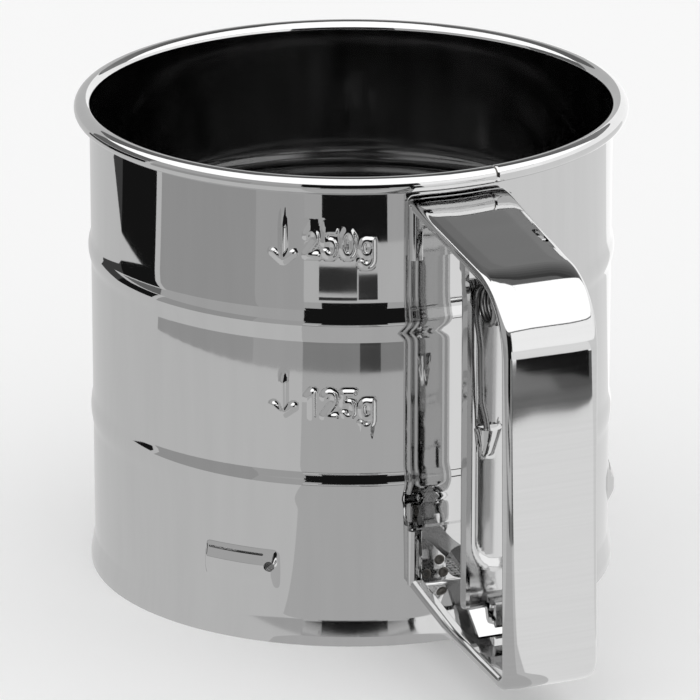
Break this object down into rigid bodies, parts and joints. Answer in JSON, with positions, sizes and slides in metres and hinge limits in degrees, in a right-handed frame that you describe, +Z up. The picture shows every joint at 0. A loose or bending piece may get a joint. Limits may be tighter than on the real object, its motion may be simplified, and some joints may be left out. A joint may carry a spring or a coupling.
{
  "type": "flour sifter",
  "caption": "Steel mug-shaped flour sifter: squeezing the trigger inside the strip handle turns a bladed rotor over the mesh at its foot.",
  "frame": {"origin": "on the can's axis, in the plane the can stands on", "axes": "+Z up along the can's axis, +X towards the handle"},
  "size_m": [0.1492, 0.1058, 0.0929],
  "materials": {
    "polished_sheet": "mirror polished stainless sheet",
    "handle_strip": "polished stainless strip, fine brushing on the grip",
    "pressed_steel": "bright pressed steel",
    "spring_wire": "drawn spring wire",
    "woven_mesh": "woven fine wire",
    "turned_steel": "turned and plated hardware"
  },
  "bodies": {
    "can": {"can_body": "polished_sheet", "handle": "handle_strip", "trigger_spring": "spring_wire", "bearing_spider": "pressed_steel", "axle_bolt": "turned_steel", "axle_nut": "turned_steel", "upper_washer": "turned_steel", "lower_washer": "turned_steel", "mesh_washer": "turned_steel", "sieve_mesh": "woven_mesh", "sieve_ring": "polished_sheet", "clamp_ring": "polished_sheet"},
    "trigger_lever": {"trigger": "pressed_steel"},
    "rotor": {"rotor_hub": "turned_steel", "crank_arm": "pressed_steel", "crank_pin": "turned_steel", "crank_pin_washer": "turned_steel", "rotor_blade_1": "pressed_steel", "rotor_blade_2": "pressed_steel", "rotor_blade_3": "pressed_steel", "rotor_blade_4": "pressed_steel"},
    "link": {"drive_link": "pressed_steel"}
  },
  "joints": [
    {"name": "trigger_squeeze", "type": "hinge", "parent": "can", "child": "trigger_lever", "pos_m": [0.0723, 0, 0.0852], "axis": [0, -1, 0], "range_deg": [0, 10], "stiffness_Nm_per_rad": 0.35, "springref_deg": -20.05, "deforming": ["trigger_spring"]},
    {"name": "rotor_spin", "type": "hinge", "parent": "can", "child": "rotor", "pos_m": [0, 0, 0.012], "axis": [0, 0, 1], "range_deg": [-60, 0]},
    {"name": "link_swing", "type": "hinge", "parent": "rotor", "child": "link", "pos_m": [-0.00638, 0.01106, 0.016], "axis": [0, 0, 1], "range_deg": [0, 60]}
  ],
  "couplings": [
    {"joint": "rotor_spin", "follows": "trigger_squeeze", "ratio": -6},
    {"joint": "link_swing", "follows": "trigger_squeeze", "ratio": 6}
  ]
}
